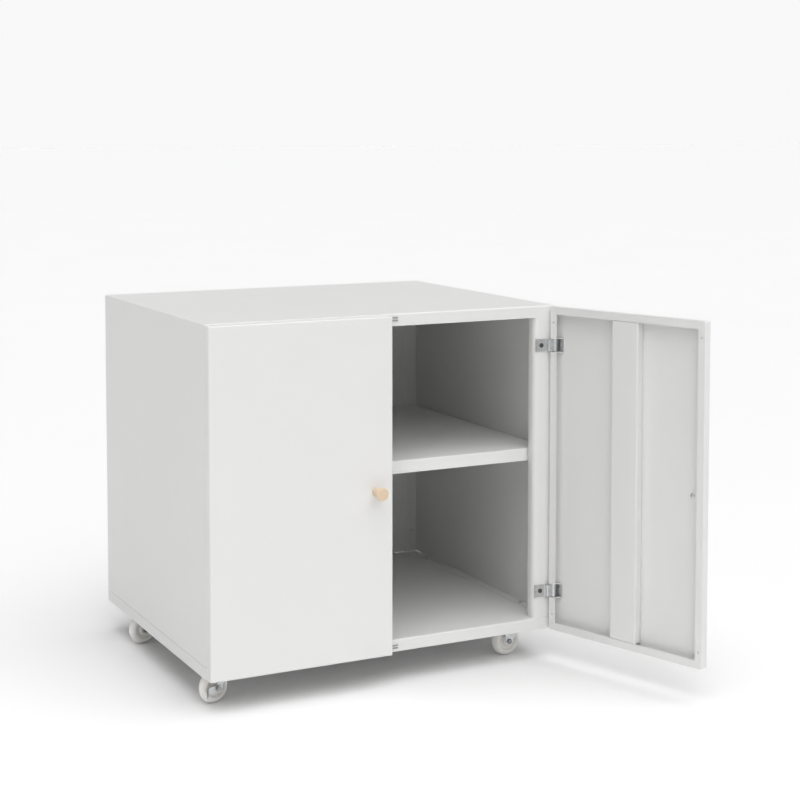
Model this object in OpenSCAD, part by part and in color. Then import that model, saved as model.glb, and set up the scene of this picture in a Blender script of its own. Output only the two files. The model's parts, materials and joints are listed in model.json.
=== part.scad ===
// Mobile printer stand: a two-door cabinet of folded sheet steel on four swivel casters.
// Millimetres. +Z is up and the front faces -Y. The origin is on the floor, under the
// middle of the cabinet body. At rest the left door is closed and the right door is open.

/* [Cabinet body] */
// Width of the body across its side panels
body_w = 600; // [500:10:800]
// Depth of the body from the post faces to the back
body_d = 486; // [440:2:600]
// Height of the body between the lower edge of the bottom pan and the top face
body_h = 529; // [460:1:700]
// Thickness of the folded sheet
sheet = 1; // [0.8:0.1:1.2]
// Height of the folded edges of the top and bottom pans
lip_h = 19; // [18:0.5:24]
// Outside radius of the sheet's bends
bend_r = 2.5; // [2:0.25:3]
// Width of the flange that returns inward from a pan's edge
pan_flange = 14; // [12:0.5:18]

/* [Side panels] */
// Width of each front post's face
post_w = 38.5; // [36:0.5:50]
// Depth of the flange behind a post's inner edge
post_return = 17; // [14:0.5:20]
// Radius of a post's inner edge, at the middle of the sheet
post_round = 8; // [4:0.5:10]
// Width of the side panel's rear flange
rear_flange = 24; // [20:0.5:30]
// Width of the side panel's top and bottom flanges
side_flange = 15; // [13:0.5:18]
// Distance from the front of the body to the start of those flanges
flange_start = 57; // [50:1:80]

/* [Shelf] */
// Height of the shelf's top above the lower edge of the body
shelf_rise = 295.5; // [180:0.5:380]
// Height of the shelf's folded edges
shelf_lip = 20; // [16:0.5:24]
// Distance from the front of the body to the shelf's front edge
shelf_setback = 20; // [19:0.5:40]

/* [Doors] */
// Gap between a closed door and the body
door_gap = 2; // [1.8:0.1:2.5]
// Thickness of a door
door_t = 15.5; // [15:0.25:18]
// Gap between the two closed doors
middle_gap = 2; // [1.5:0.25:4]
// How far the doors stop short of the top face
door_top_gap = 1.5; // [1:0.25:4]
// How far the doors stop short of the lower edge of the body
door_bottom_gap = 0.5; // [0:0.25:3]
// Width of the flange round the inside of a door
door_flange = 12; // [10:0.5:14]
// Width of the channel that stiffens a door
stiffener_w = 50; // [30:1:80]
// Angle at which the right door stands open at rest
open_angle = 108; // [0:1:110]

/* [Hinges] */
// Distance from the side of the body in to the hinge pins
pin_in = 4.5; // [4.5:0.1:5]
// Distance from the front of the body out to the hinge pins
pin_out = 8; // [8:0.25:8.5]
// Distance from the top and the lower edge of the body to the middle of a hinge
hinge_inset = 64; // [50:1:120]
// Height of a hinge's arm
arm_h = 18; // [14:1:22]
// Radius of a hinge pin
pin_r = 1.5; // [1.25:0.05:1.6]

/* [Knobs] */
// Diameter of a knob's front face
knob_front_d = 20.5; // [18:0.5:26]
// Diameter of a knob where it meets the door
knob_back_d = 12.5; // [10:0.5:16]
// Length of a knob
knob_l = 25; // [20:0.5:30]
// Distance from a door's free edge to its knob
knob_inset = 29; // [22:1:60]
// Drop of the knobs below the middle of the body
knob_drop = 5; // [-60:1:60]

/* [Casters] */
// Gap between the floor and the lower edge of the body
floor_gap = 50; // [48:0.5:60]
// Diameter of a wheel
wheel_d = 50; // [44:1:52]
// Width of a wheel's tread
wheel_w = 17; // [14:0.5:18]
// Distance from a swivel's axis to its axle
trail = 18; // [14:0.5:20]
// Distance from the side of the body to a swivel's axis
caster_inset = 44; // [36:1:60]
// Distance from the front of the body to the front swivels
caster_front = 50; // [48:1:100]
// Distance from the back of the body to the rear swivels
caster_back = 105; // [50:1:120]

/* [Hidden] */
$fn = 48;
eps = 0.01;
bore_gap = 0.05;
bend_steps = 5;
joggle_gap = 0.8;
edge_gap = 0.1;
relief_r = 2.2;
relief_h = 1.2;

x_side = body_w / 2;
y_front = -body_d / 2;
y_back = body_d / 2;
z_low = floor_gap;
z_top = floor_gap + body_h;
z_deck = z_low + lip_h;
z_ceiling = z_top - lip_h;
side_h = z_ceiling - z_deck;
z_shelf = z_low + shelf_rise;

door_w = (body_w - middle_gap) / 2;
door_h = body_h - door_top_gap - door_bottom_gap;
z_door = z_low + door_bottom_gap;
y_door_in = y_front - door_gap;
y_skin_in = y_door_in - door_t + sheet;
pivot = [x_side - pin_in, y_front - pin_out];
hinge_z = [z_low + hinge_inset, z_top - hinge_inset];
barrel_r = 3;
plate_t = 1.5;
ear_t = 1.5;
leaf_t = 1.2;
leaf_ease = 1.2;
ear_gap = 1.5;
leaf_half = arm_h / 2 + ear_gap + ear_t;
notch_h = arm_h + 3;
flange_hole_inset = 25;
flange_hole_r = 1.7;
mark_hole_r = 1.2;
x_plate = x_side - 36;
x_leg = x_side - 16.5;
plate_screw_x = (x_plate + x_leg) / 2;

knob_z = z_low + body_h / 2 - knob_drop;
knob_x = middle_gap / 2 + knob_inset;
knob_bore = 14;

screw_r = 2;
screw_hole = 2.1;
head_r = 4;
head_h = 2;
low_head_h = 1.6;
short_screw = 5;
through = sheet + 2;
pan_screw_y = [y_front + 90, y_back - 60];
pan_screw_x = body_w / 3 - 20;
back_screw_z = [z_deck + 40, (z_deck + z_ceiling) / 2, z_ceiling - 40];
bracket_y = [y_front + 60, y_back - 50];
bracket_w = 24;
bracket_leg = 20;
bracket_t = 1.5;
bracket_hole = 8;

pole_x = 11;
pole_w = 10;
pole_t = 1.2;
magnet_t = 3.2;
pole_proud = 1.5;
catch_w = 36;
catch_d = 12;
pole_play = 0.2;
stack_h = magnet_t + 2 * pole_t;
stack_len = catch_d - 2;
top_stack = z_top - 11;
bottom_stack = z_low + 5;
catch_cover = 2;
catch_screw_r = 1.45;
catch_screw_hole = 1.6;
top_catch_y = y_front + sheet + 9;
bottom_catch_y = top_catch_y - 1.5;

wheel_r = wheel_d / 2;
z_mount = z_deck - sheet;
axle_drop = z_mount - wheel_r;
caster_plate = 44;
caster_plate_t = 2;
caster_hole = 16;
bolt_r = 2.5;
bolt_hole = 2.6;
bolt_nut_h = 2.6;
ball_r = 1.5;
ball_ring = 10;
ball_count = 12;
cup_r = 13.6;
cup_t = 1;
cup_gap = 0.35;
fork_t = 2;
fork_gap = wheel_w + 3;
fork_top = caster_plate_t + 2 * ball_r + 2 * bore_gap;
king_r = 4;
axle_r = 3;
bush_r = 4;
foot_r = 6.5;
leg_out = fork_gap / 2 + fork_t;
nut_h = 3.5;
nut_r = 5.2;
collar_r = 3.9;
collar_h = 1.6;
brake_t = 1.8;
brake_play = 0.3;
brake_stack = brake_t + 2 * brake_play;
brake_droop = 6;
brake_reach = 29;

// Each caster: name, side, end, the direction its wheel trails in, and whether it has a brake
CASTERS = [
    ["front_left", -1, -1, 197, true],
    ["front_right", 1, -1, 184, false],
    ["rear_left", -1, 1, 190, false],
    ["rear_right", 1, 1, 260, true],
];
CABINET_NODES = [
    "top_pan", "bottom_pan", "left_side_panel", "right_side_panel", "back_panel",
    "shelf", "shelf_brackets", "shelf_screws", "frame_screws", "back_screws",
    "catch_housings", "catch_magnets", "catch_poles", "catch_screws",
    "left_hinge_plates", "right_hinge_plates", "hinge_screws",
    "caster_plates", "caster_studs", "caster_nuts", "king_pins", "swivel_balls", "race_cups",
];
DOOR_PIECES = ["door_pan", "door_stiffener", "hinge_leaves", "hinge_pins", "knob", "knob_screw"];
DOOR_NODES = [
    for (side = ["left", "right"])
        for (piece = DOOR_PIECES) str(side, "_", piece)
];
CASTER_PIECES = ["fork", "bush", "wheel"];
BRAKED_PIECES = concat(CASTER_PIECES, ["axle_bolt", "axle_nut", "brake_lever"]);
FREE_PIECES = concat(CASTER_PIECES, ["axle_pin", "axle_collar"]);
CASTER_NODES = [
    for (c = CASTERS)
        for (piece = c[4] ? BRAKED_PIECES : FREE_PIECES) str(c[0], "_", piece)
];

paint = "#f2f2f0";
zinc = "#b9bcbf";
steel = "#8f9397";
nylon = "#f4f1e8";
beech = "#e0bf94";
plastic = "#e9e9e6";
magnet_black = "#3a3a3a";

// ---------------------------------------------------------------- outlines

function unit(v) = v / norm(v);
function left_of(v) = [-v.y, v.x];
function turned(v, a) = [v.x * cos(a) - v.y * sin(a), v.x * sin(a) + v.y * cos(a)];
function turn_angle(u, w) = atan2(u.x * w.y - u.y * w.x, u * w);
function reversed(list) = [for (i = [len(list) - 1 : -1 : 0]) list[i]];
function flat(p) = [p[0], p[1]];

// Points of one corner p, met along u and left along w, rounded to radius r at offset s
function bend_points(p, u, w, r, s) =
    let (a = turn_angle(u, w), g = sign(a), start = p - u * r * tan(abs(a) / 2))
    let (centre = start + g * r * left_of(u))
    [for (k = [0 : bend_steps]) centre - (g * r - s) * turned(left_of(u), a * k / bend_steps)];

// One face of a folded sheet. Each point of path is [x, y, bend radius at mid-sheet]
function sheet_face(path, s) =
    let (n = len(path), p = [for (q = path) flat(q)])
    [for (i = [0 : n - 1])
        let (u = unit(i == 0 ? p[1] - p[0] : p[i] - p[i - 1]))
        let (w = i == n - 1 ? u : unit(p[i + 1] - p[i]))
        each (i == 0 || i == n - 1 ? [p[i] + s * left_of(u)] : bend_points(p[i], u, w, path[i][2], s))];

// Outline of a folded sheet of thickness t along path
function folded(path, t) = concat(sheet_face(path, t / 2), reversed(sheet_face(path, -t / 2)));

// Closed outline whose points are [x, y, corner radius]
function rounded(points) =
    let (n = len(points), p = [for (q = points) flat(q)])
    [for (i = [0 : n - 1])
        let (u = unit(p[i] - p[(i + n - 1) % n]), w = unit(p[(i + 1) % n] - p[i]))
        each (points[i][2] == 0 ? [p[i]] : bend_points(p[i], u, w, points[i][2], 0))];

// Point where a line from p touches a circle of radius r about c, on the given side
function tangent(p, c, r, side) =
    let (v = p - c, a = atan2(v.y, v.x) + side * acos(r / norm(v)))
    c + r * [cos(a), sin(a)];

function plate_outline(w, d, r) =
    rounded([[-w / 2, -d / 2, r], [w / 2, -d / 2, r], [w / 2, d / 2, r], [-w / 2, d / 2, r]]);

// ---------------------------------------------------------------- general shapes

// A block of height h whose upper and upright edges are rounded
module soft_block(w, d, h, r) {
    intersection() {
        linear_extrude(h) polygon(plate_outline(w, d, r));
        rotate([90, 0, 0]) linear_extrude(d + 2, center = true)
            polygon(rounded([[-w / 2, 0, 0], [w / 2, 0, 0], [w / 2, h, r], [-w / 2, h, r]]));
        rotate([90, 0, 90]) linear_extrude(w + 2, center = true)
            polygon(rounded([[-d / 2, 0, 0], [d / 2, 0, 0], [d / 2, h, r], [-d / 2, h, r]]));
    }
}

// A folded pan, open below, with a flange that returns inward from its lower edges
module pan(w, d, h, flange) {
    difference() {
        soft_block(w, d, h, bend_r);
        translate([0, 0, -eps]) soft_block(w - 2 * sheet, d - 2 * sheet, h - sheet + eps, bend_r - sheet);
    }
    linear_extrude(sheet) difference() {
        square([w - sheet, d - sheet], center = true);
        square([w - 2 * flange, d - 2 * flange], center = true);
    }
}

// A drill that stands on the point at and runs up by length
module drill(at, r, length) {
    translate(at) cylinder(r = r, h = length);
}

// A pan-head screw: the head's seat is at the origin and the shank runs up
module pan_screw(shank_r, length, head_r, head_h) {
    cylinder(r = shank_r, h = length);
    translate([0, 0, -head_h]) difference() {
        cylinder(r = head_r, h = head_h);
        translate([0, 0, -eps]) cylinder(r = head_r * 0.42, h = head_h * 0.55, $fn = 4);
    }
}

// A hexagon nut of height h with a bore, measured across its corners
module hex_nut(corner_r, bore_r, h) {
    difference() {
        cylinder(r = corner_r, h = h, $fn = 6);
        translate([0, 0, -eps]) cylinder(r = bore_r, h = h + 2 * eps);
    }
}

// Turns a shape that is drawn standing up so that its top faces the front
module face_front() {
    rotate([90, 0, 0]) children();
}

module both_sides() {
    children();
    mirror([1, 0, 0]) children();
}

// ---------------------------------------------------------------- cabinet shell

module frame_screw_places() {
    both_sides() for (y = pan_screw_y) translate([x_side - side_flange / 2 - sheet, y, 0]) children();
    both_sides() translate([pan_screw_x, y_back - side_flange / 2 - sheet, 0]) children();
}

// Slots for the magnetic catch's pole plates, low being the lowest point of the stack
module pole_slots(low) {
    for (side = [-1, 1], z = [low, low + stack_h - pole_t])
        translate([side * pole_x - pole_w / 2 - pole_play, y_front - 1, z - pole_play])
            cube([pole_w + 2 * pole_play, through, pole_t + 2 * pole_play]);
}

module top_pan() {
    color(paint) difference() {
        translate([0, 0, z_ceiling]) pan(body_w, body_d, lip_h, pan_flange);
        pole_slots(top_stack);
        frame_screw_places() drill([0, 0, z_ceiling - 1], screw_hole, through);
        drill([0, top_catch_y, z_ceiling - 1], catch_screw_hole, through);
    }
}

module bottom_pan() {
    color(paint) difference() {
        translate([0, 0, z_low]) pan(body_w, body_d, lip_h, door_flange);
        pole_slots(bottom_stack);
        frame_screw_places() drill([0, 0, z_mount - 1], screw_hole, through);
        drill([0, bottom_catch_y, z_low - 1], catch_screw_hole, through);
    }
}

// The right-hand side panel: wall, front post and rear flange in one folded sheet
module side_panel() {
    mid = sheet / 2;
    inner_x = x_side - post_w + mid;
    wall = [
        [x_side - rear_flange, y_back - mid, 0],
        [x_side - mid, y_back - mid, bend_r - mid],
        [x_side - mid, y_front + mid, bend_r - mid],
        [inner_x, y_front + mid, post_round],
        [inner_x, y_front + post_return, 0],
    ];
    difference() {
        union() {
            translate([0, 0, z_deck]) linear_extrude(side_h) polygon(folded(wall, sheet));
            for (z = [z_deck, z_ceiling - sheet])
                translate([x_side - side_flange - sheet, y_front + flange_start, z])
                    cube([side_flange + mid, body_d - flange_start - rear_flange, sheet]);
        }
        for (y = pan_screw_y, z = [z_deck, z_ceiling - sheet])
            drill([x_side - side_flange / 2 - sheet, y, z - 1], screw_hole, through);
        for (z = [z_deck - 1, z_ceiling - relief_h])
            drill([x_side, y_front, z], relief_r, relief_h + 1);
        for (z = back_screw_z)
            translate([x_side - rear_flange / 2, y_back + 1, z])
                face_front() cylinder(r = screw_hole, h = through);
        for (z = hinge_z)
            translate([plate_screw_x, y_front + sheet + 1, z])
                face_front() cylinder(r = screw_hole, h = through);
    }
}

module left_side_panel() {
    color(paint) mirror([1, 0, 0]) side_panel();
}

module right_side_panel() {
    color(paint) side_panel();
}

// The back is joggled: its edges lap inside the rear flanges and its middle is flush with them
module back_panel() {
    mid = sheet / 2;
    x_lap = x_side - bend_r - edge_gap;
    x_step = x_side - rear_flange - joggle_gap;
    half = [
        [x_lap, y_back - sheet - mid, 0],
        [x_step, y_back - sheet - mid, sheet],
        [x_step - 2 * sheet, y_back - mid, sheet],
    ];
    wall = concat(half, [for (p = reversed(half)) [-p[0], p[1], p[2]]]);
    flange_w = 2 * (x_side - rear_flange - 25);
    color(paint) difference() {
        union() {
            translate([0, 0, z_deck]) linear_extrude(side_h) polygon(folded(wall, sheet));
            for (z = [z_deck, z_ceiling - sheet])
                translate([-flange_w / 2, y_back - side_flange - sheet, z])
                    cube([flange_w, side_flange + mid, sheet]);
        }
        both_sides() for (z = [z_deck, z_ceiling - sheet])
            drill([pan_screw_x, y_back - side_flange / 2 - sheet, z - 1], screw_hole, through);
        both_sides() for (z = back_screw_z)
            translate([x_side - rear_flange / 2, y_back, z])
                face_front() cylinder(r = screw_hole, h = 3 * sheet);
    }
}

// Screws that hold the side and back panels to the two pans, heads inside the cabinet
module frame_screws() {
    color(zinc) frame_screw_places() {
        translate([0, 0, z_ceiling - sheet]) pan_screw(screw_r, short_screw, head_r, head_h);
        translate([0, 0, z_deck + sheet])
            rotate([180, 0, 0]) pan_screw(screw_r, short_screw, head_r, head_h);
    }
}

// Screws that hold the back panel's laps to the rear flanges, heads outside
module back_screws() {
    color(zinc) both_sides() for (z = back_screw_z)
        translate([x_side - rear_flange / 2, y_back, z])
            face_front() pan_screw(screw_r, short_screw, head_r, low_head_h);
}

// ---------------------------------------------------------------- shelf

module shelf_bracket_places() {
    both_sides() for (y = bracket_y) translate([x_side - sheet, y, z_shelf - shelf_lip]) children();
}

module shelf() {
    shelf_w = body_w - 4 * sheet;
    shelf_d = body_d - shelf_setback - 4 * sheet;
    color(paint) difference() {
        translate([0, y_front + shelf_setback + shelf_d / 2, z_shelf - shelf_lip])
            pan(shelf_w, shelf_d, shelf_lip, door_flange);
        shelf_bracket_places() drill([-bracket_hole, 0, -1], screw_hole, through);
    }
}

// Angle brackets welded inside the side panels under the shelf's edges
module shelf_brackets() {
    leg = [
        [-bracket_t / 2, -bracket_leg, 0],
        [-bracket_t / 2, -bracket_t / 2, 1.5],
        [-bracket_leg, -bracket_t / 2, 0],
    ];
    color(zinc) shelf_bracket_places() difference() {
        rotate([90, 0, 0]) linear_extrude(bracket_w, center = true) polygon(folded(leg, bracket_t));
        drill([-bracket_hole, 0, -bracket_t - 1], screw_hole, bracket_t + 2);
    }
}

module shelf_screws() {
    color(zinc) shelf_bracket_places()
        translate([-bracket_hole, 0, -bracket_t]) pan_screw(screw_r, short_screw + 1, head_r, head_h);
}

// ---------------------------------------------------------------- magnetic catches

// One catch housing between z_from and z_to, hollowed for two magnet stacks
module catch_housing(z_from, z_to, stack, screw_y) {
    difference() {
        translate([-catch_w / 2, y_front + sheet, z_from]) cube([catch_w, catch_d, z_to - z_from]);
        for (side = [-1, 1])
            translate([side * pole_x - pole_w / 2, y_front + sheet - 1, stack])
                cube([pole_w, stack_len + 1, stack_h]);
        drill([0, screw_y, z_from - 1], catch_screw_r + bore_gap, 7);
    }
}

module catch_housings() {
    color(plastic) {
        catch_housing(z_ceiling + sheet, top_stack + stack_h + catch_cover, top_stack, top_catch_y);
        catch_housing(z_low + sheet, bottom_stack + stack_h + catch_cover, bottom_stack, bottom_catch_y);
    }
}

module catch_magnets() {
    color(magnet_black) for (stack = [top_stack, bottom_stack], side = [-1, 1])
        translate([side * pole_x - pole_w / 2, y_front + sheet, stack + pole_t])
            cube([pole_w, stack_len, magnet_t]);
}

// Steel plates above and below each magnet, standing through the pan's front edge
module catch_poles() {
    color(steel) for (stack = [top_stack, bottom_stack], side = [-1, 1], lift = [0, stack_h - pole_t])
        translate([side * pole_x - pole_w / 2, y_front - pole_proud, stack + lift])
            cube([pole_w, stack_len + sheet + pole_proud, pole_t]);
}

module catch_screws() {
    color(zinc) for (at = [[0, top_catch_y, z_ceiling], [0, bottom_catch_y, z_low]])
        translate(at) pan_screw(catch_screw_r, 6, 3, 1.5);
}

// ---------------------------------------------------------------- hinges

// Plate on the post, an arm that bends forward, and the barrel that the pin turns in
module hinge_plate() {
    arm = [
        [x_plate, y_front - plate_t / 2, 0],
        [x_leg, y_front - plate_t / 2, 1.6],
        [x_leg, pivot.y, 1.6],
        [pivot.x - 2, pivot.y, 0],
    ];
    difference() {
        union() {
            linear_extrude(arm_h, center = true) polygon(folded(arm, plate_t));
            translate([x_plate, y_front - plate_t, -arm_h / 2 - 1])
                cube([x_leg - x_plate - 3, plate_t, arm_h + 2]);
            translate(pivot) cylinder(r = barrel_r, h = arm_h + 2.2, center = true);
        }
        translate(pivot) cylinder(r = pin_r + bore_gap, h = arm_h + 4, center = true);
        translate([plate_screw_x, y_front + 1, 0]) face_front() cylinder(r = screw_hole, h = plate_t + 2);
    }
}

module right_hinge_plates() {
    color(zinc) for (z = hinge_z) translate([0, 0, z]) hinge_plate();
}

module left_hinge_plates() {
    color(zinc) mirror([1, 0, 0]) for (z = hinge_z) translate([0, 0, z]) hinge_plate();
}

module hinge_screws() {
    color(steel) both_sides() for (z = hinge_z)
        translate([plate_screw_x, y_front - plate_t, z])
            rotate([-90, 0, 0]) pan_screw(screw_r, 8, 3.6, 1.6);
}

// Leaf inside the door: a base on the skin and two ears that carry the pin
module hinge_leaf() {
    base_y = y_skin_in;
    x_in = pivot.x - 11.5;
    x_out = x_side - 1.4 * sheet;
    ear = [
        [x_in, base_y], [x_out - leaf_ease, base_y], [x_out, base_y + leaf_ease / 2],
        [x_out, pivot.y - 1.5],
        [pivot.x + 1.5, pivot.y + barrel_r], [pivot.x - 2, pivot.y + barrel_r],
        [pivot.x - barrel_r, pivot.y], [x_in, base_y + leaf_t],
    ];
    difference() {
        union() {
            translate([x_in, base_y, -leaf_half])
                cube([x_out - leaf_ease - x_in, leaf_t, 2 * leaf_half]);
            for (z = [-leaf_half, leaf_half - ear_t])
                translate([0, 0, z]) linear_extrude(ear_t) polygon(ear);
        }
        translate(pivot) cylinder(r = pin_r + 0.02, h = 2 * leaf_half + 2, center = true);
    }
}

// ---------------------------------------------------------------- doors

// Carries the right-hand door's pieces from closed to the angle it rests at
module swung(angle) {
    translate(pivot) rotate([0, 0, angle]) translate(-pivot) children();
}

module door_pan() {
    centre = [x_side - door_w / 2, y_door_in, z_door + door_h / 2];
    hole_z = [z_door + flange_hole_inset, z_door + door_h - flange_hole_inset];
    difference() {
        translate(centre) face_front() pan(door_w, door_h, door_t, door_flange);
        for (z = hinge_z) {
            translate([x_side - door_flange - 1, y_door_in - sheet - 0.5, z - notch_h / 2])
                cube([door_flange + 1 - 1.1 * sheet, sheet + 1, notch_h]);
            lift = z > centre.z ? -1 : 1;
            translate([x_side - door_flange / 2, y_door_in + 1, z + lift * (notch_h / 2 + 4)])
                face_front() cylinder(r = mark_hole_r, h = through);
        }
        for (z = hole_z, x = [x_side - door_flange / 2, x_side - door_w + door_flange / 2])
            translate([x, y_door_in + 1, z]) face_front() cylinder(r = flange_hole_r, h = through);
        translate([knob_x, y_skin_in + 1, knob_z])
            face_front() cylinder(r = screw_hole, h = through);
    }
}

// Channel between the door's top and bottom flanges, level with them
module door_stiffener() {
    t = sheet * 0.8;
    half = stiffener_w / 2 - t / 2;
    base = y_skin_in + t / 2;
    web = y_door_in - t / 2;
    channel = [
        [-half + 8, base, 0], [-half, base, 1.4], [-half, web, 1.6],
        [half, web, 1.6], [half, base, 1.4], [half - 8, base, 0],
    ];
    translate([x_side - door_w / 2, 0, z_door + door_flange + 0.5])
        linear_extrude(door_h - 2 * door_flange - 1) polygon(folded(channel, t));
}

module hinge_leaves() {
    for (z = hinge_z) translate([0, 0, z]) hinge_leaf();
}

module hinge_pins() {
    for (z = hinge_z) translate([pivot.x, pivot.y, z]) {
        cylinder(r = pin_r, h = 2 * leaf_half, center = true);
        translate([0, 0, leaf_half]) cylinder(r = pin_r + 0.8, h = 1);
    }
}

// Turned knob, narrow at the door and wide in front, with its front edge rounded
module knob() {
    r_back = knob_back_d / 2;
    r_front = knob_front_d / 2;
    profile = rounded([
        [0, 0, 0], [r_back, 0, 0.6], [r_back + 0.4, 2, 3],
        [r_front, knob_l - 3, 2.4], [r_front - 1.2, knob_l, 1.2], [0, knob_l + 0.6, 0],
    ]);
    translate([knob_x, y_door_in - door_t, knob_z]) face_front() difference() {
        rotate_extrude($fn = 64) polygon(profile);
        translate([0, 0, -eps]) cylinder(r = screw_r + 0.02, h = knob_bore);
    }
}

module knob_screw() {
    translate([knob_x, y_skin_in, knob_z])
        face_front() pan_screw(screw_r, knob_bore - 2, head_r - 0.2, 2.4);
}

// ---------------------------------------------------------------- casters

// A caster's own frame: z = 0 at the underside of the deck, on the swivel's axis
module at_caster(c) {
    y = c[2] < 0 ? y_front + caster_front : y_back - caster_back;
    translate([c[1] * (x_side - caster_inset), y, z_mount]) children();
}

// The same frame turned so that the wheel trails along +X
module trailing(c) {
    at_caster(c) rotate([0, 0, c[3]]) children();
}

module caster_corners() {
    for (x = [-1, 1], y = [-1, 1]) translate([x * caster_hole, y * caster_hole, 0]) children();
}

module caster_plates() {
    color(zinc) for (c = CASTERS) at_caster(c) difference() {
        translate([0, 0, -caster_plate_t]) linear_extrude(caster_plate_t)
            polygon(plate_outline(caster_plate, caster_plate, 5));
        drill([0, 0, -caster_plate_t - 1], king_r + bore_gap, caster_plate_t + 2);
        caster_corners() drill([0, 0, -caster_plate_t - 1], bolt_hole, caster_plate_t + 2);
    }
}

// Studs welded under the deck, down through the caster's plate
module caster_studs() {
    stud_h = caster_plate_t + bolt_nut_h + edge_gap;
    color(zinc) for (c = CASTERS) at_caster(c) caster_corners()
        translate([0, 0, -stud_h]) cylinder(r = bolt_r, h = stud_h);
}

module caster_nuts() {
    color(zinc) for (c = CASTERS) at_caster(c) caster_corners()
        translate([0, 0, -caster_plate_t - bolt_nut_h]) hex_nut(4.5, bolt_r, bolt_nut_h);
}

// Rivet that holds the fork up against its ball race
module king_pins() {
    head_z = -(fork_top + fork_t + 0.35);
    color(steel) for (c = CASTERS) at_caster(c) {
        translate([0, 0, head_z]) cylinder(r = king_r, h = -head_z);
        translate([0, 0, head_z - 1.8]) cylinder(r = 7, h = 1.8);
    }
}

module swivel_balls() {
    color(steel) for (c = CASTERS) at_caster(c) for (k = [0 : ball_count - 1])
        rotate([0, 0, k * 360 / ball_count])
            translate([ball_ring, 0, -caster_plate_t - ball_r - bore_gap]) sphere(r = ball_r, $fn = 24);
}

// Pressed cup round each ball race, open below, just clear of the fork's crown
module race_cups() {
    cup_h = fork_top - caster_plate_t - cup_gap;
    color(zinc) for (c = CASTERS) at_caster(c) translate([0, 0, -caster_plate_t - cup_h]) difference() {
        cylinder(r = cup_r, h = cup_h);
        translate([0, 0, -eps]) cylinder(r = cup_r - cup_t, h = cup_h + 2 * eps);
    }
}

// Side view of a fork's legs: wide under the crown, tapering to a round foot at the axle
module fork_side() {
    axle = [trail, -axle_drop];
    front = [-12, -fork_top - 5];
    back = [trail + 8, -fork_top - 9];
    polygon([
        [front.x, -fork_top], front, tangent(front, axle, foot_r, 1),
        tangent(back, axle, foot_r, -1), back, [back.x - 1, -fork_top],
    ]);
    translate(axle) circle(r = foot_r);
}

// Stamped fork: a crown under the balls and two legs
module fork() {
    leg_y = (fork_gap + fork_t) / 2;
    crown_z = -fork_top - fork_t / 2;
    leg_end = -axle_drop - foot_r - 1;
    arch = [[-leg_y, leg_end, 0], [-leg_y, crown_z, 2.5], [leg_y, crown_z, 2.5], [leg_y, leg_end, 0]];
    difference() {
        union() {
            intersection() {
                rotate([90, 0, 90]) linear_extrude(200, center = true) polygon(folded(arch, fork_t));
                rotate([90, 0, 0]) linear_extrude(60, center = true) fork_side();
            }
            translate([0, 0, -fork_top - fork_t]) cylinder(r = 15, h = fork_t);
        }
        drill([0, 0, -fork_top - fork_t - 1], king_r + bore_gap, fork_t + 2);
        translate([trail, 0, -axle_drop]) rotate([90, 0, 0])
            cylinder(r = axle_r + bore_gap, h = 60, center = true);
    }
}

// Places a shape drawn along +Z on the axle, starting at distance from the wheel's middle
module on_axle(from) {
    translate([trail, from, -axle_drop]) rotate([-90, 0, 0]) children();
}

// Bolt through both legs and the brake lever
module axle_bolt() {
    on_axle(-leg_out) cylinder(r = axle_r, h = 2 * leg_out + brake_stack + nut_h + 1);
    on_axle(-leg_out - nut_h) cylinder(r = nut_r, h = nut_h, $fn = 6);
}

module axle_nut() {
    on_axle(leg_out + brake_stack) hex_nut(nut_r, axle_r, nut_h);
}

// Headed pin through both legs of a caster with no brake
module axle_pin() {
    on_axle(-leg_out) cylinder(r = axle_r, h = 2 * leg_out + collar_h);
    on_axle(-leg_out - collar_h) cylinder(r = nut_r, h = collar_h);
}

// Collar that the end of that pin is riveted over
module axle_collar() {
    on_axle(leg_out) difference() {
        cylinder(r = collar_r, h = collar_h);
        translate([0, 0, -eps]) cylinder(r = axle_r, h = collar_h + 2 * eps);
    }
}

// Steel sleeve between the legs, on which the wheel turns
module bush() {
    on_axle(-fork_gap / 2) difference() {
        cylinder(r = bush_r, h = fork_gap);
        translate([0, 0, -eps]) cylinder(r = axle_r + 0.03, h = fork_gap + 2 * eps);
    }
}

// Nylon wheel with a rounded tread and a ring recess round its hub
module wheel() {
    half = wheel_w / 2;
    hub_half = fork_gap / 2 - 0.4;
    recess = half - 4;
    profile = rounded([
        [bush_r + bore_gap, -hub_half, 0], [8, -hub_half, 0.8], [8.8, -recess, 0.8], [15, -recess, 1.5],
        [16.5, -half, 2], [wheel_r - 5, -half, 2.5], [wheel_r, -half + 4.5, 5],
        [wheel_r, half - 4.5, 5], [wheel_r - 5, half, 2.5], [16.5, half, 2],
        [15, recess, 1.5], [8.8, recess, 0.8], [8, hub_half, 0.8], [bush_r + bore_gap, hub_half, 0],
    ]);
    on_axle(0) rotate_extrude($fn = 96) polygon(profile);
}

// Side lever on the axle, outside one leg, with a pedal bent outward at its end
module brake_lever() {
    pedal = [[0, brake_t / 2, 0], [brake_reach - 10, brake_t / 2, 3], [brake_reach, 9, 0]];
    translate([trail, leg_out + brake_play, -axle_drop]) rotate([0, brake_droop, 0]) difference() {
        union() {
            rotate([-90, 0, 0]) cylinder(r = 8, h = brake_t);
            linear_extrude(11, center = true) polygon(folded(pedal, brake_t));
        }
        rotate([90, 0, 0]) cylinder(r = axle_r + bore_gap, h = 20, center = true);
    }
}

// ---------------------------------------------------------------- what is drawn

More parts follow.
